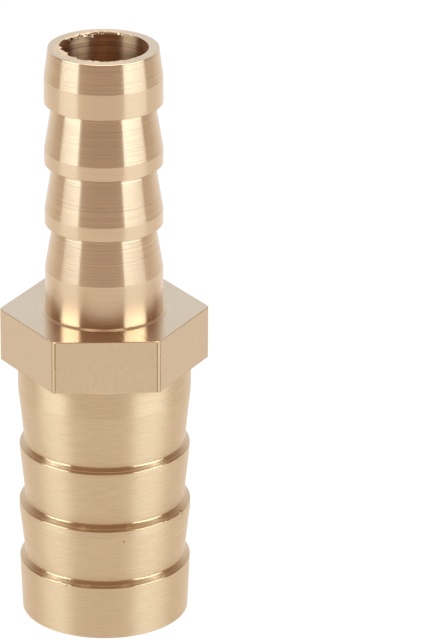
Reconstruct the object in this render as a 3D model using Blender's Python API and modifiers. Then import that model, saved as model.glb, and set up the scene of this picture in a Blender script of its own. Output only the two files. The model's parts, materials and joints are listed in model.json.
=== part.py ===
# Hose barb reducer: a straight brass fitting that joins a wider hose to a narrower one.
#
# The fitting is one piece, turned and drilled from hexagonal bar. The bar's own flats are
# left in the middle as the spanner hexagon. Below it is the large barbed end and above it
# the small one. Each end has a plain neck, a back taper, two barbs and a longer nose barb.
# A barb is a steep step that grips the hose, a short cylindrical land and a long cone.
#
# Units are metres. The origin is the centre of the large end's face, where the fitting
# stands. +Z runs along the bore to the small end, and one flat of the hexagon faces -Y.

import math
from collections import namedtuple

import bmesh
import bpy
from mathutils import Matrix

# Bores. The large one is a flat stretch and a drill point that meets the small one.
LARGE_BORE_DIAMETER = 0.0095
SMALL_BORE_DIAMETER = 0.0063
LARGE_BORE_PAST_HEX_FACE = 0.0010
DRILL_POINT_ANGLE = math.radians(118)
LARGE_BORE_EDGE_BREAK = 0.0002

# Large end, for the wider hose. Lengths run from the hexagon outwards. The lands are
# those of the barbs behind the nose, nearest the hexagon first. The nose's land draws in
# by the draft along its length.
LARGE_GROOVE_WALL = 0.00105
LARGE_BARB_HEIGHT = 0.00042
LARGE_BARB_PITCH = 0.00447
LARGE_NECK_LENGTH = 0.00217
LARGE_BACK_TAPER_LENGTH = 0.00385
LARGE_LAND_LENGTHS = (0.0002, 0.0006)
LARGE_NOSE_LAND_LENGTH = 0.00324
LARGE_NOSE_DRAFT = 0.00016
LARGE_NOSE_TAPER_LENGTH = 0.00086
LARGE_FACE_WALL = 0.00119

# Small end, for the narrower hose
SMALL_GROOVE_WALL = 0.00057
SMALL_BARB_HEIGHT = 0.00049
SMALL_BARB_PITCH = 0.00453
SMALL_NECK_LENGTH = 0.00327
SMALL_BACK_TAPER_LENGTH = 0.00286
SMALL_LAND_LENGTHS = (0.00108, 0.00108)
SMALL_NOSE_LAND_LENGTH = 0.00186
SMALL_NOSE_DRAFT = 0.00001
SMALL_NOSE_TAPER_LENGTH = 0.00213
SMALL_FACE_WALL = 0.00079

# The steep back of every barb, measured from the fitting's axis, and the nose's edge
BARB_STEP_ANGLE = math.radians(45)
NOSE_EDGE_BREAK = 0.00010

# Spanner hexagon: its flats stand proud of the large neck by the shoulder
HEX_SHOULDER = 0.00028
HEX_THICKNESS = 0.00389
HEX_CORNER_FLAT = 0.00026

# Small radius that the turning tool leaves where each neck meets the hexagon
ROOT_RADIUS = 0.00012
ROOT_ARC_STEPS = 3

# How far the bar and the drills run past the finished part
MACHINING_OVERRUN = 0.0010

TURNING_STEPS = 72
MERGE_DISTANCE = 0.000001
SMOOTH_BELOW = math.radians(12)

BRASS_COLOUR = (0.76, 0.56, 0.33, 1.0)
BRASS_ROUGHNESS = 0.22

BarbedEnd = namedtuple("BarbedEnd", "bore_diameter groove_wall barb_height barb_pitch "
                       "neck_length back_taper_length land_lengths nose_land_length "
                       "nose_draft nose_taper_length face_wall")

LARGE_END = BarbedEnd(
    bore_diameter=LARGE_BORE_DIAMETER,
    groove_wall=LARGE_GROOVE_WALL,
    barb_height=LARGE_BARB_HEIGHT,
    barb_pitch=LARGE_BARB_PITCH,
    neck_length=LARGE_NECK_LENGTH,
    back_taper_length=LARGE_BACK_TAPER_LENGTH,
    land_lengths=LARGE_LAND_LENGTHS,
    nose_land_length=LARGE_NOSE_LAND_LENGTH,
    nose_draft=LARGE_NOSE_DRAFT,
    nose_taper_length=LARGE_NOSE_TAPER_LENGTH,
    face_wall=LARGE_FACE_WALL,
)

SMALL_END = BarbedEnd(
    bore_diameter=SMALL_BORE_DIAMETER,
    groove_wall=SMALL_GROOVE_WALL,
    barb_height=SMALL_BARB_HEIGHT,
    barb_pitch=SMALL_BARB_PITCH,
    neck_length=SMALL_NECK_LENGTH,
    back_taper_length=SMALL_BACK_TAPER_LENGTH,
    land_lengths=SMALL_LAND_LENGTHS,
    nose_land_length=SMALL_NOSE_LAND_LENGTH,
    nose_draft=SMALL_NOSE_DRAFT,
    nose_taper_length=SMALL_NOSE_TAPER_LENGTH,
    face_wall=SMALL_FACE_WALL,
)


def clear_scene():
    for existing in list(bpy.data.objects):
        bpy.data.objects.remove(existing, do_unlink=True)


def make_collection(name):
    collection = bpy.data.collections.new(name)
    bpy.context.scene.collection.children.link(collection)
    return collection


def add_object(name, mesh, collection):
    item = bpy.data.objects.new(name, mesh)
    collection.objects.link(item)
    return item


def brass():
    material = bpy.data.materials.new("turned_brass")
    material.use_nodes = True
    shader = material.node_tree.nodes["Principled BSDF"]
    shader.inputs["Base Color"].default_value = BRASS_COLOUR
    shader.inputs["Metallic"].default_value = 1.0
    shader.inputs["Roughness"].default_value = BRASS_ROUGHNESS
    return material


def groove_radius(end):
    return end.bore_diameter / 2 + end.groove_wall


def ridge_radius(end):
    return groove_radius(end) + end.barb_height


def root_fillet(neck_radius):
    """Quarter arc from the hexagon's face to the neck, as (radius, distance) points."""
    points = []
    for step in range(ROOT_ARC_STEPS + 1):
        turn = math.pi / 2 * step / ROOT_ARC_STEPS
        radius = neck_radius + ROOT_RADIUS * (1 - math.sin(turn))
        distance = ROOT_RADIUS * (1 - math.cos(turn))
        points.append((radius, distance))
    return points


def barbed_outline(end):
    """Outline of one end from the hexagon to its face, as (radius, distance) points."""
    groove = groove_radius(end)
    ridge = ridge_radius(end)
    step_length = end.barb_height / math.tan(BARB_STEP_ANGLE)
    points = root_fillet(ridge)
    points.append((ridge, end.neck_length))

    barb_start = end.neck_length + end.back_taper_length
    for land_length in end.land_lengths:
        land_start = barb_start + step_length
        points.append((groove, barb_start))
        points.append((ridge, land_start))
        points.append((ridge, land_start + land_length))
        barb_start += end.barb_pitch

    nose_start = barb_start + step_length
    taper_start = nose_start + end.nose_land_length
    face = taper_start + end.nose_taper_length
    face_radius = end.bore_diameter / 2 + end.face_wall
    points.append((groove, barb_start))
    points.append((ridge, nose_start))
    points.append((ridge - end.nose_draft, taper_start))
    points.append((face_radius, face - NOSE_EDGE_BREAK))
    points.append((face_radius - NOSE_EDGE_BREAK, face))
    return points


def turned_object(name, outline, collection):
    """Solid of revolution about Z from (radius, height) points that run down its side."""
    profile = bmesh.new()
    corners = [profile.verts.new((radius, 0, height)) for radius, height in outline]
    for upper, lower in zip(corners, corners[1:]):
        profile.edges.new((upper, lower))
    mesh = bpy.data.meshes.new(name)
    profile.to_mesh(mesh)
    profile.free()

    item = add_object(name, mesh, collection)
    screw = item.modifiers.new("turning", "SCREW")
    screw.axis = "Z"
    screw.steps = TURNING_STEPS
    screw.render_steps = TURNING_STEPS
    screw.use_merge_vertices = True
    screw.merge_threshold = MERGE_DISTANCE
    return item


def hex_corner_radius():
    flat_radius = ridge_radius(LARGE_END) + HEX_SHOULDER
    return flat_radius / math.cos(math.radians(30))


def hex_bar(name, bottom, top, collection):
    """Drawn hexagonal bar with a narrow flat along each of its corners, one on +X."""
    corner_radius = hex_corner_radius()
    bar = bmesh.new()
    bmesh.ops.create_cone(bar, cap_ends=True, segments=6, radius1=corner_radius,
                          radius2=corner_radius, depth=top - bottom)
    corner_to_x = Matrix.Rotation(math.radians(30), 3, "Z")
    bmesh.ops.rotate(bar, verts=bar.verts, cent=(0, 0, 0), matrix=corner_to_x)
    bmesh.ops.translate(bar, verts=bar.verts, vec=(0, 0, (top + bottom) / 2))
    upright = [edge for edge in bar.edges
               if abs(edge.verts[0].co.z - edge.verts[1].co.z) > MERGE_DISTANCE]
    bmesh.ops.bevel(bar, geom=upright, offset=HEX_CORNER_FLAT, offset_type="WIDTH",
                    affect="EDGES", segments=1, profile=0.5)
    mesh = bpy.data.meshes.new(name)
    bar.to_mesh(mesh)
    bar.free()
    return add_object(name, mesh, collection)


def turned_envelope(large_outline, small_outline, hex_bottom, hex_top, collection):
    """What the lathe leaves: both barbed ends, and room for the bar's flats between."""
    clear_of_bar = hex_corner_radius() + MACHINING_OVERRUN
    small_side = [(radius, hex_top + distance) for radius, distance in small_outline]
    large_side = [(radius, hex_bottom - distance) for radius, distance in large_outline]
    outline = [(0, small_side[-1][1])]
    outline += reversed(small_side)
    outline += [(clear_of_bar, hex_top), (clear_of_bar, hex_bottom)]
    outline += large_side
    outline += [(0, large_side[-1][1])]
    return turned_object("turned_envelope", outline, collection)


def small_drill(top, collection):
    radius = SMALL_BORE_DIAMETER / 2
    above = top + MACHINING_OVERRUN
    below = -MACHINING_OVERRUN
    outline = [(0, above), (radius, above), (radius, below), (0, below)]
    return turned_object("small_drill", outline, collection)


def large_drill(hex_bottom, collection):
    """Stub drill with its point, widened at the mouth to break the bore's edge."""
    radius = LARGE_BORE_DIAMETER / 2
    shoulder = hex_bottom + LARGE_BORE_PAST_HEX_FACE
    tip = shoulder + radius / math.tan(DRILL_POINT_ANGLE / 2)
    below = -MACHINING_OVERRUN
    mouth_radius = radius + LARGE_BORE_EDGE_BREAK + MACHINING_OVERRUN
    outline = [(0, tip), (radius, shoulder), (radius, LARGE_BORE_EDGE_BREAK),
               (mouth_radius, below), (0, below)]
    return turned_object("large_drill", outline, collection)


def machine(stock, operations):
    """Applies each (tool, operation) to the stock and leaves one finished mesh."""
    for tool, operation in operations:
        tool.hide_render = True
        tool.display_type = "WIRE"
        cut = stock.modifiers.new(tool.name, "BOOLEAN")
        cut.solver = "EXACT"
        cut.operation = operation
        cut.object = tool
    depsgraph = bpy.context.evaluated_depsgraph_get()
    finished = bpy.data.meshes.new_from_object(stock.evaluated_get(depsgraph))
    finished.name = stock.name
    stock.modifiers.clear()
    stock.data = finished
    finished.shade_smooth()
    finished.set_sharp_from_angle(angle=SMOOTH_BELOW)


def hose_barb_reducer():
    part = make_collection("hose_barb_reducer")
    tools = make_collection("machining_tools")

    large_outline = barbed_outline(LARGE_END)
    small_outline = barbed_outline(SMALL_END)
    hex_bottom = large_outline[-1][1]
    hex_top = hex_bottom + HEX_THICKNESS
    top = hex_top + small_outline[-1][1]

    body = hex_bar("reducer_body", -MACHINING_OVERRUN, top + MACHINING_OVERRUN, part)
    envelope = turned_envelope(large_outline, small_outline, hex_bottom, hex_top, tools)
    operations = [
        (envelope, "INTERSECT"),
        (small_drill(top, tools), "DIFFERENCE"),
        (large_drill(hex_bottom, tools), "DIFFERENCE"),
    ]
    machine(body, operations)
    body.data.materials.clear()
    body.data.materials.append(brass())
    return body


clear_scene()
hose_barb_reducer()
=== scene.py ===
import json
import math
import random

import bmesh
import bpy
from mathutils import Matrix, Vector, noise


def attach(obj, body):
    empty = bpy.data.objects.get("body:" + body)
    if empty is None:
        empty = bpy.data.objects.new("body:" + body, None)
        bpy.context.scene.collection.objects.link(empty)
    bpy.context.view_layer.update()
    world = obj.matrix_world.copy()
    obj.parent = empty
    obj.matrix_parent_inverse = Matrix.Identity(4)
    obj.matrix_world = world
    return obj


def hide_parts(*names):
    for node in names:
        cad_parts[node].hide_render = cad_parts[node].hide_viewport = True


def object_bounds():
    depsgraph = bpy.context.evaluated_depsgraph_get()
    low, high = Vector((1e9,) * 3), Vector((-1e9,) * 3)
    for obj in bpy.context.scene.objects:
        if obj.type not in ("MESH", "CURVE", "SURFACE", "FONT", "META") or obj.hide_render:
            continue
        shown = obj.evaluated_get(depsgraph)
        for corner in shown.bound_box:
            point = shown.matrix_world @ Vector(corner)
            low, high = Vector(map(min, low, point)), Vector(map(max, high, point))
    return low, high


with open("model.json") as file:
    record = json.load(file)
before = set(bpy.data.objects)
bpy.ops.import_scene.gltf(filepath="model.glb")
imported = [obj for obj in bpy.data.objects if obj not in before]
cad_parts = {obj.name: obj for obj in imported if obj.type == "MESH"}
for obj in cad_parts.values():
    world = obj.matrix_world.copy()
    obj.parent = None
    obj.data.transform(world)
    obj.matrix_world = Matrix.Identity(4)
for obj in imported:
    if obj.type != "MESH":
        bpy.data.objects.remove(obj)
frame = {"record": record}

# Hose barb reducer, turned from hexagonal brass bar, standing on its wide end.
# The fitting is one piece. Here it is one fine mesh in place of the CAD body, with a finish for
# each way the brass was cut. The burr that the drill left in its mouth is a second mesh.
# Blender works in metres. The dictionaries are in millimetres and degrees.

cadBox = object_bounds()
mm = 0.001
fullTurn = 2 * math.pi


# Camera

# Where the camera stood: how far in front and how high above the floor, and how it was turned.
# Standing round is how far the whole view goes round the fitting.
cameraSetup = {
    "inFront": 311.7,
    "height": 151.6,
    "standingRound": -1.1,
    "lookRight": 1.541,
    "lookDown": 22.514,
    "lean": 0.40,
    "lens": 265.2,
}


def makeCamera(setup):
    data = bpy.data.cameras.new("camera")
    data.lens = setup["lens"]
    data.sensor_width = 36.0
    data.clip_start = 0.01
    camera = bpy.data.objects.new("camera", data)
    bpy.context.scene.collection.objects.link(camera)
    standing = Matrix.Rotation(math.radians(setup["standingRound"]), 4, "Z")
    stand = Vector((0.0, -setup["inFront"], setup["height"])) * mm
    heading = Matrix.Rotation(math.radians(-setup["lookRight"]), 4, "Z")
    tilt = Matrix.Rotation(math.radians(90 - setup["lookDown"]), 4, "X")
    lean = Matrix.Rotation(math.radians(setup["lean"]), 4, "Z")
    camera.matrix_world = standing @ Matrix.Translation(stand) @ heading @ tilt @ lean
    bpy.context.scene.camera = camera
    print("camera: in place")


makeCamera(cameraSetup)


# Studio

# A light table with a lit panel on either side, pale paper that curves up behind, a lamp
# overhead and the open side, which is dim, towards the camera. Brightness is relative to white
# in the picture. A panel's near and far edges are its ends along Y. The paper behind comes in
# as a ray points back, from one share of its length to another, and fades out upwards, between
# two angles above the floor.
studio = {
    "floorFront": -215.0,
    "floorBack": 420.0,
    "floorSide": 320.0,
    "floorColour": "454545",
    "floorGlow": 0.97,
    "panelDistance": 150.0,
    "panelBottom": 45.0,
    "panelTop": 156.0,
    "leftPanel": (-121.0, 5.0),
    "rightPanel": (-192.0, -10.0),
    "panelBrightness": 4.8,
    "panelColour": "CBE6FF",
    "topHeight": 300.0,
    "topCentre": 99.0,
    "topFacing": (0.0, -0.1, -1.0),
    "topSize": (170.0, 222.0),
    "topBrightness": 4.3,
    "topColour": "FFFFFF",
    "roomBrightness": 0.41,
    "roomColour": "FFE1D6",
    "behindBrightness": 1.2,
    "behindColour": "E7F2FF",
    "behindComesIn": (0.35, 0.85),
    "behindFadesFrom": 36.0,
    "behindFadesTo": 60.0,
}


def linearColour(code):
    channels = [int(code[at:at + 2], 16) / 255 for at in (0, 2, 4)]
    values = [c / 12.92 if c <= 0.04045 else ((c + 0.055) / 1.055) ** 2.4 for c in channels]
    return (*values, 1.0)


def addNode(tree, kind, inputs=None, **settings):
    made = tree.nodes.new("ShaderNode" + kind)
    for name, value in settings.items():
        setattr(made, name, value)
    for name, value in (inputs or {}).items():
        if isinstance(value, bpy.types.NodeSocket):
            tree.links.new(value, made.inputs[name])
        else:
            made.inputs[name].default_value = value
    return made


def emptyMaterial(name):
    material = bpy.data.materials.new(name)
    material.use_nodes = True
    material.node_tree.nodes.clear()
    return material


def panelLight(name, place, facing, size, brightness, colour):
    data = bpy.data.lights.new(name, "AREA")
    data.shape = "RECTANGLE"
    data.size, data.size_y = (length * mm for length in size)
    data.energy = 4 * brightness * data.size * data.size_y    # 4 W per square metre look white
    data.color = linearColour(colour)[:3]
    panel = bpy.data.objects.new(name, data)
    bpy.context.scene.collection.objects.link(panel)
    turn = Vector(facing).to_track_quat("-Z", "Y").to_matrix().to_4x4()
    panel.matrix_world = Matrix.Translation(Vector(place) * mm) @ turn
    panel.visible_camera = False


def opalAcrylic(colour, glow):
    # Opal acrylic lit from below. Its own light fills every shadow that falls on it.
    material = emptyMaterial("opal_acrylic")
    tree = material.node_tree
    acrylic = addNode(tree, "BsdfPrincipled", {
        "Base Color": linearColour(colour),
        "Roughness": 0.9,
        "Specular IOR Level": 0.0,
        "Emission Color": (1.0, 1.0, 1.0, 1.0),
        "Emission Strength": glow,
    })
    addNode(tree, "OutputMaterial", {"Surface": acrylic.outputs[0]})
    return material


def makeStudio(setup):
    sheet = bmesh.new()
    bmesh.ops.create_grid(sheet, x_segments=1, y_segments=1, size=0.5)
    depth = setup["floorBack"] - setup["floorFront"]
    middle = (setup["floorBack"] + setup["floorFront"]) / 2
    bmesh.ops.scale(sheet, verts=sheet.verts, vec=(2 * setup["floorSide"] * mm, depth * mm, 1))
    bmesh.ops.translate(sheet, verts=sheet.verts, vec=(0, middle * mm, 0))
    mesh = bpy.data.meshes.new("tableTop")
    sheet.to_mesh(mesh)
    sheet.free()
    mesh.materials.append(opalAcrylic(setup["floorColour"], setup["floorGlow"]))
    floor = bpy.data.objects.new("tableTop", mesh)
    bpy.context.scene.collection.objects.link(floor)

    bottom, top = setup["panelBottom"], setup["panelTop"]
    for side, name in ((-1, "leftPanel"), (1, "rightPanel")):
        near, far = setup[name]
        place = (side * setup["panelDistance"], (near + far) / 2, (bottom + top) / 2)
        panelLight(name, place, (-side, 0, 0), (far - near, top - bottom),
                   setup["panelBrightness"], setup["panelColour"])
    panelLight("topLamp", (0, setup["topCentre"], setup["topHeight"]), setup["topFacing"],
               setup["topSize"], setup["topBrightness"], setup["topColour"])

    bpy.context.scene.world = studioWorld(setup)
    bpy.context.scene.view_settings.view_transform = "Standard"
    print("studio: floor, panels and lamp in place")


def studioWorld(setup):
    # The direction of a ray is its point on a unit sphere: Y is towards the back, Z is up
    world = bpy.data.worlds.new("studio")
    world.use_nodes = True
    world.node_tree.nodes.clear()
    tree = world.node_tree
    ray = addNode(tree, "TexCoord")
    parts = addNode(tree, "SeparateXYZ", {0: ray.outputs["Generated"]})
    starts, isFull = setup["behindComesIn"]
    towardsBack = addNode(tree, "MapRange", {
        "Value": parts.outputs["Y"],
        "From Min": starts,
        "From Max": isFull,
    }, interpolation_type="SMOOTHSTEP")
    low = addNode(tree, "MapRange", {
        "Value": parts.outputs["Z"],
        "From Min": math.sin(math.radians(setup["behindFadesTo"])),
        "From Max": math.sin(math.radians(setup["behindFadesFrom"])),
    }, interpolation_type="SMOOTHSTEP")
    behind = addNode(tree, "Math", {0: towardsBack.outputs[0], 1: low.outputs[0]},
                     operation="MULTIPLY")
    room = addNode(tree, "Background", {"Color": linearColour(setup["roomColour"]),
                                        "Strength": setup["roomBrightness"]})
    paper = addNode(tree, "Background", {"Color": linearColour(setup["behindColour"]),
                                         "Strength": setup["behindBrightness"]})
    around = addNode(tree, "MixShader", {0: behind.outputs[0], 1: room.outputs[0],
                                         2: paper.outputs[0]})
    page = addNode(tree, "Background", {"Color": (1.0, 1.0, 1.0, 1.0), "Strength": 1.0})
    rays = addNode(tree, "LightPath")
    seen = addNode(tree, "MixShader", {0: rays.outputs["Is Camera Ray"], 1: around.outputs[0],
                                       2: page.outputs[0]})
    addNode(tree, "OutputWorld", {"Surface": seen.outputs[0]})
    return world


makeStudio(studio)


# Finishes

def spaceNoise(tree, place, spacings):
    # Noise in space, with its own spacing along each axis
    scaled = addNode(tree, "VectorMath", {0: place, 1: [1 / (gap * mm) for gap in spacings]},
                     operation="MULTIPLY")
    grain = addNode(tree, "TexNoise", {"Vector": scaled.outputs[0], "Scale": 1.0, "Detail": 2.0})
    return grain.outputs[0]


def linesAround(tree, place, finish):
    return spaceNoise(tree, place, (finish["length"], finish["length"], finish["spacing"]))


def linesAlong(tree, place, finish):
    return spaceNoise(tree, place, (finish["spacing"], finish["spacing"], finish["length"]))


def circles(tree, place, finish):
    flat = addNode(tree, "VectorMath", {0: place, 1: (1.0, 1.0, 0.0)}, operation="MULTIPLY")
    reach = addNode(tree, "VectorMath", {0: flat.outputs[0]}, operation="LENGTH")
    steps = addNode(tree, "Math", {0: reach.outputs["Value"], 1: 1 / (finish["spacing"] * mm)},
                    operation="MULTIPLY")
    lines = addNode(tree, "TexNoise", {"W": steps.outputs[0], "Scale": 1.0, "Detail": 2.0},
                    noise_dimensions="1D")
    return lines.outputs[0]


# Every finish of the free-cutting brass: its material, how its marks run, its colour and
# roughness, how much longer a highlight is along the fitting than around it, the spacing,
# length and depth of the marks, and how much they change the colour. A fine feed leaves marks
# about 0.05 mm apart. They are drawn so, and it is their unevenness that shows. Drilling and
# facing leave them about 0.12 mm apart. The scratches of a fine abrasive are about 0.02 mm
# wide, and are drawn twice as coarse, so that they show.
# Where two finishes meet at a rounded corner, the one that comes first covers it.
brassFinishes = {
    # Cut by the flank of a form tool, which leaves the short steps almost like mirrors
    "formCut": {
        "material": "form_cut_brass", "marks": linesAround, "colour": "C9A67C",
        "roughness": 0.255, "anisotropy": 0.96,
        "spacing": 0.15, "length": 2.5, "depth": 0.0006, "streaks": 0.05,
    },
    # Faced across the end of the bar. Fine circles around the axis catch the light.
    "faced": {
        "material": "faced_brass", "marks": circles, "colour": "D3B591",
        "roughness": 0.22, "anisotropy": 0.80,
        "spacing": 0.12, "depth": 0.0014, "streaks": 0.10,
    },
    # Faced with the side of the finishing tool, so it is smoother and mirrors the neck
    "shoulder": {
        "material": "faced_shoulder_brass", "marks": circles, "colour": "D3B899",
        "roughness": 0.22, "anisotropy": 0.80,
        "spacing": 0.30, "depth": 0.0005, "streaks": 0.015,
    },
    # Turned, then rubbed round with fine abrasive. Its short scratches give it a soft sheen
    # with wide, pale bands.
    "satinTurned": {
        "material": "satin_turned_brass", "marks": linesAround, "colour": "DDC099",
        "roughness": 0.42, "anisotropy": 0.88,
        "spacing": 0.042, "length": 1.2, "depth": 0.0006, "streaks": 0.08,
    },
    # Turned with a sharp tool at a fine feed. The rings around it spread a light along the
    # fitting and leave it sharp around it, so bands with clear sides appear.
    "fineTurned": {
        "material": "fine_turned_brass", "marks": linesAround, "colour": "D3B591",
        "roughness": 0.235, "anisotropy": 0.96,
        "spacing": 0.046, "length": 40.0, "depth": 0.0011, "streaks": 0.20,
    },
    # The lands, left by the broad edge of the tool. They shine the same, with no lines to see.
    "smoothTurned": {
        "material": "smooth_turned_brass", "marks": linesAround, "colour": "D9BC99",
        "roughness": 0.25, "anisotropy": 0.96,
        "spacing": 0.065, "length": 3.0, "depth": 0.0002, "streaks": 0.03,
    },
    # A drilled bore. It sees mostly itself, so it looks deep and reddish, with rough rings. Its
    # colour is also darker and redder than the brass outside it: painted shade of the deep bore.
    "drilled": {
        "material": "drilled_painted_shade_brass", "marks": linesAround, "colour": "C69D75",
        "roughness": 0.37, "anisotropy": 0.90,
        "spacing": 0.13, "length": 12.0, "depth": 0.0040, "streaks": 0.30,
    },
    # The skin of the bar, drawn through a die. It is dull, with faint lines along the bar.
    "drawn": {
        "material": "drawn_bar_brass", "marks": linesAlong, "colour": "D0B594",
        "roughness": 0.42, "anisotropy": 0.0,
        "spacing": 0.14, "length": 0.30, "depth": 0.0008, "streaks": 0.035,
    },
    # The broken edges of the hexagon, worn bright where they turn towards a lamp
    "burnished": {
        "material": "burnished_brass", "marks": linesAlong, "colour": "D3B591",
        "roughness": 0.20, "anisotropy": 0.0,
        "spacing": 0.12, "length": 0.12, "depth": 0.0040, "streaks": 0.12,
    },
    # A dull line at some of the hexagon's edges and beside its corner strips. Its darker colour is
    # painted shade.
    "paintedShadeLine": {
        "material": "painted_shade_line_brass", "marks": linesAlong, "colour": "A88A62",
        "roughness": 0.42, "anisotropy": 0.0,
        "spacing": 0.10, "length": 0.3, "depth": 0.0020, "streaks": 0.18,
    },
    # The bar's narrow corners, rubbed in handling, so they are smoother. Their lighter colour is a
    # painted highlight.
    "rubbedPaintedHighlight": {
        "material": "rubbed_painted_highlight_brass", "marks": linesAlong, "colour": "DBBF9D",
        "roughness": 0.36, "anisotropy": 0.0,
        "spacing": 0.08, "length": 0.6, "depth": 0.0015, "streaks": 0.10,
    },
    # Thin metal torn by the drill as it broke out. Its small facets glint every way.
    "torn": {
        "material": "torn_brass", "marks": linesAlong, "colour": "D3B993",
        "roughness": 0.42, "anisotropy": 0.0,
        "spacing": 0.06, "length": 0.06, "depth": 0.0055, "streaks": 0.12,
    },
    # Chips pressed over the face by the drill. They are dull and lumpy, with mottled spots.
    "smeared": {
        "material": "smeared_brass", "marks": linesAlong, "colour": "C8AE8C",
        "roughness": 0.40, "anisotropy": 0.0,
        "spacing": 0.09, "length": 0.09, "depth": 0.0120, "streaks": 0.10,
    },
}


def brass(finish):
    material = emptyMaterial(finish["material"])
    tree = material.node_tree
    place = addNode(tree, "TexCoord").outputs["Object"]
    marks = finish["marks"](tree, place, finish)
    # The noise stays between about 0.3 and 0.7
    shade = addNode(tree, "MapRange", {"Value": marks, "From Min": 0.3, "From Max": 0.7,
                                       "To Min": 1 - finish["streaks"],
                                       "To Max": 1 + finish["streaks"]})
    tinted = addNode(tree, "VectorMath", {0: linearColour(finish["colour"])[:3],
                                          "Scale": shade.outputs[0]}, operation="SCALE")
    bump = addNode(tree, "Bump", {"Strength": 1.0, "Distance": finish["depth"] * mm,
                                  "Height": marks})
    tangent = addNode(tree, "Tangent", direction_type="RADIAL", axis="Z")
    metal = addNode(tree, "BsdfPrincipled", {
        "Base Color": tinted.outputs[0],
        "Metallic": 1.0,
        "Roughness": finish["roughness"],
        "Anisotropic": finish["anisotropy"],
        "Anisotropic Rotation": 0.25,
        "Tangent": tangent.outputs[0],
        "Normal": bump.outputs[0],
    })
    addNode(tree, "OutputMaterial", {"Surface": metal.outputs[0]})
    return material


brassMaterials = [brass(finish) for finish in brassFinishes.values()]
finishOrder = list(brassFinishes)
print(f"finishes: {len(brassMaterials)} of brass")


# Fitting

fitting = {
    # The barbed ends. Lengths run from the hexagon outwards. Each end has a neck and a taper,
    # then three barbs, each a groove, a short step up to its ridge, a land and a taper. Root is
    # how high the neck starts. A step's line is at a share of its height, with a width. Tool
    # marks are lines that the tool left near each groove: how far from it, how wide, how deep.
    "small": {
        "neckRadius": 4.21, "grooves": (3.65, 3.65, 3.65), "ridges": (4.21, 4.21, 4.21),
        "boreRadius": 3.18, "faceRadius": 3.92,
        "neck": 3.21, "backTaper": 3.35, "pitch": 4.53, "stepLength": 0.08,
        "lands": (1.01, 1.02), "noseLand": 1.84, "noseDraft": 0.01, "root": 0.125,
        "taperFinish": "fineTurned", "landFinish": "smoothTurned", "stepFinish": "formCut",
        "crestRound": 0.02, "grooveRound": 0, "faceRound": 0.04, "stepLine": None,
        "toolMarks": ((0.30, 0.05, 0.005), (0.48, 0.05, 0.003)),
    },
    "large": {
        "neckRadius": 6.22, "grooves": (5.80, 5.76, 5.80), "ridges": (6.15, 6.20, 6.19),
        "boreRadius": 4.75, "faceRadius": 6.02,
        "neck": 2.17, "backTaper": 3.95, "pitch": 4.47, "stepLength": 0.36,
        "lands": (0.26, 0.56), "noseLand": 3.20, "noseDraft": 0.13, "root": 0,
        "taperFinish": "satinTurned", "landFinish": "satinTurned", "stepFinish": "formCut",
        "crestRound": 0.05, "grooveRound": 0.09, "faceRound": 0.04, "stepLine": (0.65, 0.03),
        "toolMarks": (),
    },
    "sidesRound": 360,
    "rootWidth": 0.23,              # flat ring at the small neck's root
    "rootReach": 0.38,              # and the cone around it
    "rootRound": 0.19,              # where the large neck meets the hexagon
    "mouthRound": 0.02,             # at the small bore's mouth
    "tornDepth": 0.15,              # the torn mouth runs out this far down the bore
    "boreStepBelowHexTop": 2.89,
    "drillPoint": 118.0,
    "largeMouthBreak": 0.20,
    # The hexagon's broken edges, and in degrees from a corner, where its strip ends, how far the
    # rubbed brass with its painted highlight goes, and how far the line of painted shade goes
    "hexEdgeRound": 0.045,
    "cornerStrip": 1.0,
    "rubbedHighlightWithin": 0.75,
    "paintedShadeWithin": 1.3,
    # How far the mouth of the small bore is torn outwards, at angles from +X
    "tornMouth": ((58, 0), (72, 0.10), (86, 0.16), (99, 0.18), (106, 0.24), (113, 0.08),
                  (122, 0.22), (132, 0.04), (138, 0)),
    # Brass smeared over the face from the bore. At angles from +X, how much wider or narrower
    # it is than its width, as a share of it. Least is the least share that is left.
    "smearWidth": 0.30,
    "smearLeast": 0.15,
    "smear": ((140, -0.9), (188, 0.1), (205, 0.5), (250, 0.7), (285, 0.3), (330, -0.9)),
    # Edges are smooth where the surface turns by less than this, plain or in a rounding
    "smoothBelow": 3,
    "roundedSmoothBelow": 40,
    # Knocks: angle from +X, then reach, height, width and depth
    "dents": (
        (-78.9, 6.17, 7.72, 0.13, 0.16),
        (-124.0, 6.22, 4.02, 0.14, 0.03),
        (-116.8, 6.22, 4.00, 0.12, 0.05),
        (-28.8, 6.22, 8.53, 0.22, 0.08),
        (-41.0, 6.22, 8.51, 0.12, 0.04),
        (-47.0, 6.22, 8.50, 0.12, 0.03),
    ),
}

# How uneven a torn edge is: its usual share, and waves, each with its height and its length in
# mm. Seed is another place in the same noise.
raggedness = {
    "usual": 0.9,
    "seed": 2.3,
    "waves": ((1.1, 0.5), (0.7, 0.22), (0.8, 0.11)),
}


def axisDistance(place):
    return math.hypot(place.x, place.y)


def angleOf(place):
    # Degrees round from +X, from 0 to 360
    return math.degrees(math.atan2(place.y, place.x)) % 360


def setReach(vert, reach):
    # Moves a corner straight out or in, to a reach in mm
    share = reach * mm / axisDistance(vert.co)
    vert.co.x *= share
    vert.co.y *= share


def between(pairs, angle):
    # The value at an angle, from angles and values in order
    for (before, low), (after, high) in zip(pairs, pairs[1:]):
        if before <= angle <= after:
            share = (angle - before) / (after - before)
            return low + (high - low) * (3 - 2 * share) * share ** 2
    return 0


def ragged(angle, radius):
    # Uneven share, from almost 0 to about 1.8
    turn = math.radians(angle)
    around = Vector((math.cos(turn), math.sin(turn), raggedness["seed"])) * radius
    waves = sum(height * noise.noise(around / length) for height, length in raggedness["waves"])
    return max(0, raggedness["usual"] + waves)


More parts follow.
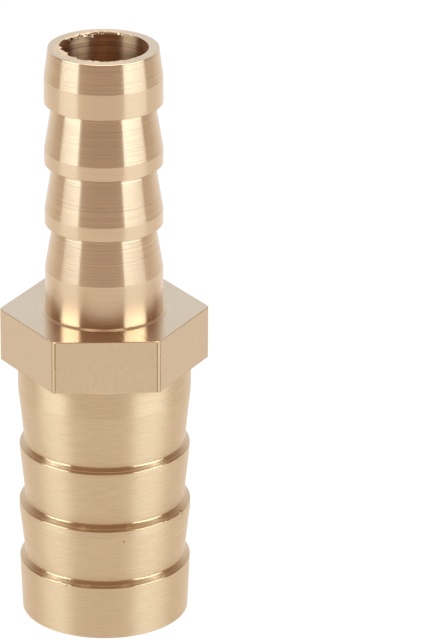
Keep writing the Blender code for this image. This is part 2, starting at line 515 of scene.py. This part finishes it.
def markedTaper(corner, groove, marks, finish):
    # Corners of the tool marks on the taper from a corner to a groove
    radius, reach = corner[:2]
    rise = (groove[0] - radius) / (groove[1] - reach)
    lines = []
    for away, width, depth in sorted(marks, reverse=True):
        for along, cut in ((-width / 2, 0), (0, depth), (width / 2, 0)):
            at = groove[1] - away + along
            lines.append((radius + rise * (at - reach) - cut, at, 0, finish))
    return lines


def endChain(end, whole):
    # Corners of one end from the hexagon to its face: radius, reach, rounding, and the finish
    # of the surface that leads to the corner. Whole is how far the end's face is out.
    taper, land, step = end["taperFinish"], end["landFinish"], end["stepFinish"]
    length = end["stepLength"]
    chain = [(end["neckRadius"], end["root"], 0, None), (end["neckRadius"], end["neck"], 0, land)]
    start = end["neck"] + end["backTaper"]
    drafts = (0, 0, end["noseDraft"])
    stretches = (*end["lands"], end["noseLand"])
    for groove, ridge, stretch, draft in zip(end["grooves"], end["ridges"], stretches, drafts):
        chain += markedTaper(chain[-1], (groove, start), end["toolMarks"], taper)
        chain.append((groove, start, end["grooveRound"], taper))
        if end["stepLine"]:
            share, width = end["stepLine"]
            radius, middle = groove + share * (ridge - groove), start + share * length
            chain.append((radius, middle - width / 2, 0, step))
            chain.append((radius, middle + width / 2, 0, step))
        chain.append((ridge, start + length, end["crestRound"], step))
        chain.append((ridge - draft, start + length + stretch, 0, land))
        start += end["pitch"]
    chain.append((end["faceRadius"], whole, end["faceRound"], taper))
    return chain


def placed(chain, hexFace, outward):
    return [(radius, hexFace + outward * reach, rounding, finish)
            for radius, reach, rounding, finish in chain]


def fittingChains(top, hexTop, hexBottom, flatRadius):
    # Both ends, the hexagon with the root of the small neck, and the bore, as heights in mm
    small, large = fitting["small"], fitting["large"]
    neck, bore, wideBore = small["neckRadius"], small["boreRadius"], large["boreRadius"]
    boreStep = hexTop - fitting["boreStepBelowHexTop"]
    pointRise = (wideBore - bore) / math.tan(math.radians(fitting["drillPoint"] / 2))
    mouth = fitting["largeMouthBreak"]
    return [
        placed(endChain(small, top - hexTop), hexTop, 1),
        placed(endChain(large, hexBottom), hexBottom, -1),
        [(neck, hexTop + small["root"], 0, None),
         (neck + fitting["rootWidth"], hexTop + small["root"], 0, "faced"),
         (neck + fitting["rootReach"], hexTop, 0, "faced"),
         (flatRadius, hexTop, 0, "shoulder"),
         (flatRadius, hexBottom, 0, "drawn"),
         (large["neckRadius"], hexBottom, fitting["rootRound"], "shoulder")],
        [(small["faceRadius"], top, 0, None),
         (bore + fitting["smearWidth"], top, 0, "faced"),
         (bore, top, fitting["mouthRound"], "faced"),
         (bore, top - fitting["tornDepth"], 0, "drilled"),
         (bore, boreStep + pointRise, 0, "drilled"),
         (wideBore, boreStep, 0, "drilled"),
         (wideBore, mouth, 0, "drilled"),
         (wideBore + mouth, 0, 0, "faced"),
         (large["faceRadius"], 0, 0, "faced")],
    ]


def spinStrips(body, chains, finish):
    # Turns every stretch that has this finish and adds it to the body
    ribs = bmesh.new()
    for chain in chains:
        for corner, following in zip(chain, chain[1:]):
            if following[3] == finish:
                ends = [ribs.verts.new((at[0] * mm, 0, at[1] * mm)) for at in (corner, following)]
                ribs.edges.new(ends)
    bmesh.ops.spin(ribs, geom=[*ribs.verts, *ribs.edges], cent=(0, 0, 0), axis=(0, 0, 1),
                   dvec=(0, 0, 0), angle=fullTurn, steps=fitting["sidesRound"], use_merge=True,
                   use_normal_flip=False, use_duplicate=False)
    for face in ribs.faces:
        face.material_index = finishOrder.index(finish)
    turned = bpy.data.meshes.new(finish)
    ribs.to_mesh(turned)
    ribs.free()
    body.from_mesh(turned)
    bpy.data.meshes.remove(turned)


def onHexagon(place, flatRadius):
    # Nothing else reaches as far out. The slack leaves room for the broken edges.
    slack = 0.05
    return axisDistance(place) > (flatRadius - slack) * mm


def fromHexCorner(angle):
    # Degrees round from the nearest corner of the hexagon, which has a corner on +X
    return (angle + 30) % 60 - 30


def squareHexagon(body, flatRadius, cornerReach):
    # The hexagon is turned round at first. This moves its corners out to the flats and strips.
    for vert in body.verts:
        if onHexagon(vert.co, flatRadius):
            fromCorner = abs(fromHexCorner(angleOf(vert.co)))
            toFlat = flatRadius / math.cos(math.radians(30 - fromCorner))
            toStrip = cornerReach / math.cos(math.radians(fromCorner))
            setReach(vert, min(toFlat, toStrip))


def roundHexagon(body, flatRadius):
    # Breaks the edges of the hexagon and gives its corners their finishes, with a painted highlight
    # on the corner strips and lines of painted shade
    picked = []
    for edge in body.edges:
        first, last = (vert.co for vert in edge.verts)
        if onHexagon(first, flatRadius) and onHexagon(last, flatRadius):
            level = abs(first.z - last.z) < 1e-7
            fromCorner = abs(fromHexCorner(angleOf((first + last) / 2)))
            if level or abs(fromCorner - fitting["cornerStrip"]) < 0.1:
                picked.append(edge)
    made = bmesh.ops.bevel(body, geom=picked, offset=fitting["hexEdgeRound"] * mm, segments=2,
                           affect="EDGES", profile=0.5, material=-1, offset_type="OFFSET")
    rounded = body.faces.layers.int["rounded"]
    for face in made["faces"]:
        face[rounded] = 1
        upwards = abs(face.normal.z)
        if 0.3 < upwards < 0.97:
            # The steeper half of the edges to the left and right gets painted shade, the rest is
            # worn
            sideways = abs(face.normal.x) > 0.5 * abs(face.normal.y) and upwards < 0.7
            face.material_index = finishOrder.index("paintedShadeLine" if sideways else "burnished")
    for face in body.faces:
        middle = face.calc_center_median()
        upright = abs(face.normal.z) <= 0.3
        if not (upright and onHexagon(middle, flatRadius)):
            continue
        fromCorner = abs(fromHexCorner(angleOf(middle)))
        frontOrBack = abs(middle.y) > 0.8 * flatRadius * mm
        # The corner strips get the rubbed brass, lighter by a painted highlight
        if fromCorner < fitting["rubbedHighlightWithin"]:
            face.material_index = finishOrder.index("rubbedPaintedHighlight")
        # Beside the corner strips of the front and back faces only, a line of painted shade
        elif fromCorner < fitting["paintedShadeWithin"] and frontOrBack:
            face.material_index = finishOrder.index("paintedShadeLine")


def roundedCorners(chains):
    # Radius, height, rounding and finish of every rounded corner
    corners = {}
    for chain in chains:
        for index, (radius, height, rounding, finish) in enumerate(chain):
            following = chain[index + 1][3] if index + 1 < len(chain) else None
            ranks = [finishOrder.index(side) for side in (finish, following) if side]
            if rounding:
                corners.setdefault((radius, height, rounding), []).extend(ranks)
    return [(*corner, min(ranks)) for corner, ranks in corners.items()]


def roundRings(body, rings, rounding):
    # Rounds every ring of edges that has this rounding
    near = 1e-6

    def isRing(edge):
        first, last = (vert.co for vert in edge.verts)
        reach, height = axisDistance(first), first.z
        if abs(last.z - height) > near or abs(axisDistance(last) - reach) > near:
            return False
        return any(abs(reach - ring[0] * mm) < near and abs(height - ring[1] * mm) < near
                   for ring in rings)

    made = bmesh.ops.bevel(body, geom=[edge for edge in body.edges if isRing(edge)],
                           offset=rounding * mm, segments=4, affect="EDGES", profile=0.5,
                           material=-1, offset_type="OFFSET")
    rounded = body.faces.layers.int["rounded"]
    for face in made["faces"]:
        middle = face.calc_center_median() / mm
        closest = min(rings, key=lambda ring: math.hypot(axisDistance(middle) - ring[0],
                                                         middle.z - ring[1]))
        face.material_index = closest[3]
        face[rounded] = 1


def pressDent(body, dent):
    angle, reach, height, width, depth = dent
    turn = math.radians(angle)
    outwards = Vector((math.cos(turn), math.sin(turn), 0))
    centre = outwards * reach * mm + Vector((0, 0, height * mm))
    near = [face for face in body.faces
            if min((corner.co.xy - centre.xy).length for corner in face.verts) < 2 * width * mm
            and min(corner.co.z for corner in face.verts) < (height + width) * mm
            and max(corner.co.z for corner in face.verts) > (height - width) * mm]
    # Faces run the whole height of a taper, so they are cut across near the dent. A dictionary
    # holds each edge and corner once, in the same order each run.
    for share in (-1, -0.4, 0.4, 1):
        level = Vector((0, 0, (height + share * width) * mm))
        edges = dict.fromkeys(edge for face in near for edge in face.edges)
        corners = dict.fromkeys(corner for face in near for corner in face.verts)
        cut = bmesh.ops.bisect_plane(body, geom=[*near, *edges, *corners], dist=1e-8,
                                     plane_co=level, plane_no=(0, 0, 1))
        near = [item for item in cut["geom"] if isinstance(item, bmesh.types.BMFace)]
    rounded = body.faces.layers.int["rounded"]
    for face in near:
        if (face.calc_center_median() - centre).length < 1.2 * width * mm:
            face[rounded] = 1    # smooth to just past its rim
    for vert in dict.fromkeys(corner for face in near for corner in face.verts):
        share = (vert.co - centre).length / (width * mm)
        if share < 1:
            vert.co -= outwards * depth * mm * (1 - share * share) ** 2


def smearFace(body, top):
    # Moves the ring of corners that bounds the smear, and gives the faces inside it its finish
    radius, width, smear = fitting["small"]["boreRadius"], fitting["smearWidth"], fitting["smear"]
    faceHeight = (top - 0.001) * mm    # corners above this are on the face
    for vert in body.verts:
        onRing = abs(axisDistance(vert.co) / mm - radius - width) < 0.001
        if onRing and vert.co.z > faceHeight:
            angle = angleOf(vert.co)
            share = 1 + between(smear, angle) * ragged(angle, radius)
            setReach(vert, radius + width * max(fitting["smearLeast"], share))
    for face in body.faces:
        middle = face.calc_center_median()
        inside = axisDistance(middle) < (radius + 0.8 * width) * mm
        if inside and middle.z > faceHeight and smear[0][0] < angleOf(middle) < smear[-1][0]:
            face.material_index = finishOrder.index("smeared")


def tearMouth(body, top):
    # Moves the edge of the small bore's mouth, with its rounding, outwards where it is torn
    radius = fitting["small"]["boreRadius"]
    rim = 1.5 * fitting["mouthRound"]
    for vert in body.verts:
        reach = axisDistance(vert.co) / mm
        if reach < radius + rim and vert.co.z > (top - rim) * mm:
            angle = angleOf(vert.co)
            setReach(vert, reach + between(fitting["tornMouth"], angle) * ragged(angle, radius))


def makeFitting(name):
    mounts = {mount["name"]: mount["pos_m"] for mount in frame["record"]["mounts"]}
    hexTop = mounts["small_hose_stop"][2] / mm
    hexBottom = mounts["large_hose_stop"][2] / mm
    cornerReach, flatRadius, top = (length / mm for length in cadBox[1])

    chains = fittingChains(top, hexTop, hexBottom, flatRadius)
    body = bmesh.new()
    for finish in finishOrder:
        spinStrips(body, chains, finish)
    squareHexagon(body, flatRadius, cornerReach)
    bmesh.ops.remove_doubles(body, verts=body.verts, dist=1e-6)
    bmesh.ops.recalc_face_normals(body, faces=body.faces)

    body.faces.layers.int.new("rounded")
    corners = roundedCorners(chains)
    for rounding in sorted({corner[2] for corner in corners}):
        roundRings(body, [corner for corner in corners if corner[2] == rounding], rounding)
    roundHexagon(body, flatRadius)
    for dent in fitting["dents"]:
        pressDent(body, dent)
    smearFace(body, top)
    tearMouth(body, top)
    body.normal_update()
    rounded = body.faces.layers.int["rounded"]
    for edge in body.edges:
        inRounding = all(face[rounded] for face in edge.link_faces)
        limit = fitting["roundedSmoothBelow"] if inRounding else fitting["smoothBelow"]
        edge.smooth = edge.calc_face_angle(0) < math.radians(limit)
    finishPiece(name, body)


def finishPiece(name, body):
    mesh = bpy.data.meshes.new(name)
    body.to_mesh(mesh)
    body.free()
    for material in brassMaterials:
        mesh.materials.append(material)
    mesh.polygons.foreach_set("use_smooth", [True] * len(mesh.polygons))
    piece = bpy.data.objects.new(name, mesh)
    bpy.context.scene.collection.objects.link(piece)
    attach(piece, "root")
    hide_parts("reducer_body")
    triangles = sum(len(face.vertices) - 2 for face in mesh.polygons)
    print(f"{name}: {triangles} triangles")


makeFitting("turnedFitting")


# Torn burr

# The drill tore the inner edge of the small end's face. A ragged lip hangs into the bore,
# slivers curl in from part of it, and a few crumbs of metal stick to the hexagon's edges and
# the neck.
burr = {
    "seed": 5,
    "sidesRound": 540,
    # Corners of the lip's section: how far outside the bore's wall and above the face
    "lipSection": ((0.10, -0.012), (-0.02, 0.0), (-0.10, -0.03), (-0.06, -0.09), (0.10, -0.126)),
    # How far its inmost corner hangs into the bore, at angles from +X
    "lipReach": ((0, -0.05), (55, -0.05), (98, -0.04), (104, 0.22), (128, 0.26), (142, 0.08),
                 (152, -0.02), (168, 0.02), (182, 0.20), (210, 0.28), (232, 0.28), (250, 0.22),
                 (268, 0.16), (285, 0.14), (305, 0.10), (325, 0.04), (345, -0.03), (360, -0.05)),
    # Least and most of a sliver's measures. It starts outside the bore's wall and below the
    # face. Fall and curl are how far it points down at first and bends on, in radians. Skew
    # leans it, taper narrows its end, and bend is how far it is crumpled.
    "slivers": 24,
    "sliver": {
        "angle": (101, 136),
        "outside": (-0.15, 0.12),
        "below": (0.0, 0.12),
        "length": (0.08, 0.32),
        "width": (0.12, 0.36),
        "fall": (0.5, 1.2),
        "curl": (0.3, 1.6),
        "skew": (-1.2, 1.2),
        "taper": (0.1, 0.8),
    },
    "sliverBend": 0.07,
    # A crumb's shape, its width as a share of its length, and each one's angle from +X,
    # reach, height and length
    "crumb": {"fall": -0.3, "curl": 0.9, "skew": 0.3, "taper": 0.8, "bend": 0.02},
    "crumbWidth": 0.7,
    "crumbs": (
        (-80.4, 5.95, 23.36, 0.12),
        (-39.3, 4.24, 23.62, 0.16),
        (-123.9, 7.24, 23.36, 0.14),
        (-60.2, 7.36, 23.34, 0.14),
        (-57.0, 7.20, 23.35, 0.10),
        (-101.0, 6.50, 23.35, 0.09),
        (-93.0, 6.44, 23.35, 0.08),
        (-72.0, 6.70, 23.35, 0.09),
    ),
    "crumpleSize": 0.15,
    "thickness": 0.025,
    "smoothBelow": 30,
}


def addSliver(bits, shape):
    strip = bmesh.ops.create_grid(bits, x_segments=2, y_segments=6, size=0.5)["verts"]
    length, fall, curl = shape["length"], shape["fall"], shape["curl"]
    for vert in strip:
        along = vert.co.y + 0.5
        across = vert.co.x * shape["width"] * (1 - shape["taper"] * along)
        inward = length * (math.sin(fall + curl * along) - math.sin(fall)) / curl
        down = length * (math.cos(fall) - math.cos(fall + curl * along)) / curl
        flat = Vector((shape["reach"] - inward, across + shape["skew"] * along * length,
                       shape["height"] - down))
        crumple = noise.noise_vector(flat / burr["crumpleSize"] + Vector((0, 0, shape["angle"])))
        vert.co = (flat + crumple * shape["bend"]) * mm
    bmesh.ops.rotate(bits, verts=strip, cent=(0, 0, 0),
                     matrix=Matrix.Rotation(math.radians(shape["angle"]), 3, "Z"))


def addLip(bits, radius, top):
    # It is spun as its own closed ring, torn, and then joined to the rest
    section = burr["lipSection"]
    inmost = -min(outside for outside, _ in section)
    lip = bmesh.new()
    profile = [lip.verts.new(((radius + outside) * mm, 0, (top + above) * mm))
               for outside, above in section]
    edges = [lip.edges.new(ends) for ends in zip(profile, profile[1:] + profile[:1])]
    bmesh.ops.spin(lip, geom=[*profile, *edges], cent=(0, 0, 0), axis=(0, 0, 1), dvec=(0, 0, 0),
                   angle=fullTurn, steps=burr["sidesRound"], use_merge=True,
                   use_normal_flip=False, use_duplicate=False)
    for vert in lip.verts:
        share = (radius - axisDistance(vert.co) / mm) / inmost
        if share > 0:
            angle = angleOf(vert.co)
            setReach(vert, radius - share * between(burr["lipReach"], angle) * ragged(angle, radius))
    bmesh.ops.recalc_face_normals(lip, faces=lip.faces)
    ring = bpy.data.meshes.new("lip")
    lip.to_mesh(ring)
    lip.free()
    bits.from_mesh(ring)
    bpy.data.meshes.remove(ring)


def makeBurr(name):
    chance = random.Random(burr["seed"])
    noise.seed_set(burr["seed"])    # noise_vector starts from this, or else from the clock
    radius = fitting["small"]["boreRadius"]
    top = cadBox[1][2] / mm
    bits = bmesh.new()
    for _ in range(burr["slivers"]):
        shape = {measure: chance.uniform(*span) for measure, span in burr["sliver"].items()}
        shape["reach"] = radius + shape["outside"]
        shape["height"] = top - shape["below"]
        addSliver(bits, {**shape, "bend": burr["sliverBend"]})
    for angle, reach, height, length in burr["crumbs"]:
        addSliver(bits, {**burr["crumb"], "angle": angle, "reach": reach, "height": height,
                         "length": length, "width": length * burr["crumbWidth"]})
    bmesh.ops.solidify(bits, geom=bits.faces[:], thickness=burr["thickness"] * mm)
    addLip(bits, radius, top)
    for vert in bits.verts:
        vert.co.z = min(vert.co.z, top * mm)
    bmesh.ops.recalc_face_normals(bits, faces=bits.faces)
    for face in bits.faces:
        face.material_index = finishOrder.index("torn")
    for edge in bits.edges:
        edge.smooth = edge.calc_face_angle(0) < math.radians(burr["smoothBelow"])
    finishPiece(name, bits)


makeBurr("boreBurr")
